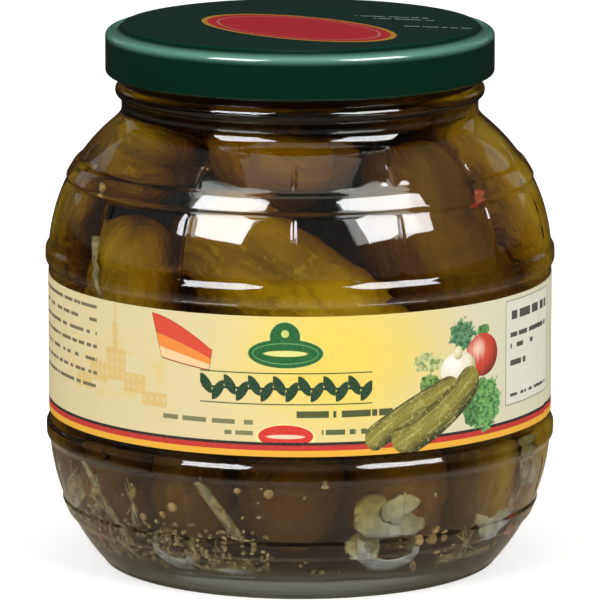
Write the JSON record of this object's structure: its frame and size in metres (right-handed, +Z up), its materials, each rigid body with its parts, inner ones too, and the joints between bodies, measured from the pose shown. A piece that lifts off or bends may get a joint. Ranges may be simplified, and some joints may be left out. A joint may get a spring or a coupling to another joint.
{
  "type": "pickle jar",
  "caption": "Barrel-shaped glass jar of gherkins in brine, with raised hoops, a wrap-round paper label and a green twist-off metal lid.",
  "frame": {"origin": "centre of the base, on the surface that the jar stands on", "axes": "+Z up along the jar's axis, the middle of the label's front faces -Y, +X to the right of it"},
  "size_m": [0.1202, 0.1202, 0.1278],
  "materials": {
    "glass": "clear flint glass, smooth and glossy, faintly green where it is thick",
    "brine": "cloudy brown-green brine packed with gherkins, onion, dill and mustard seed",
    "lid": "glossy dark green lacquer on tinplate, with a plain red and yellow printed oval",
    "label": "semi-gloss coated paper, yellow fading to cream, with simple printed shapes and stripes"
  },
  "bodies": {
    "root": {"glass": "glass", "brine": "brine", "lid": "lid", "label": "label"}
  },
  "joints": []
}
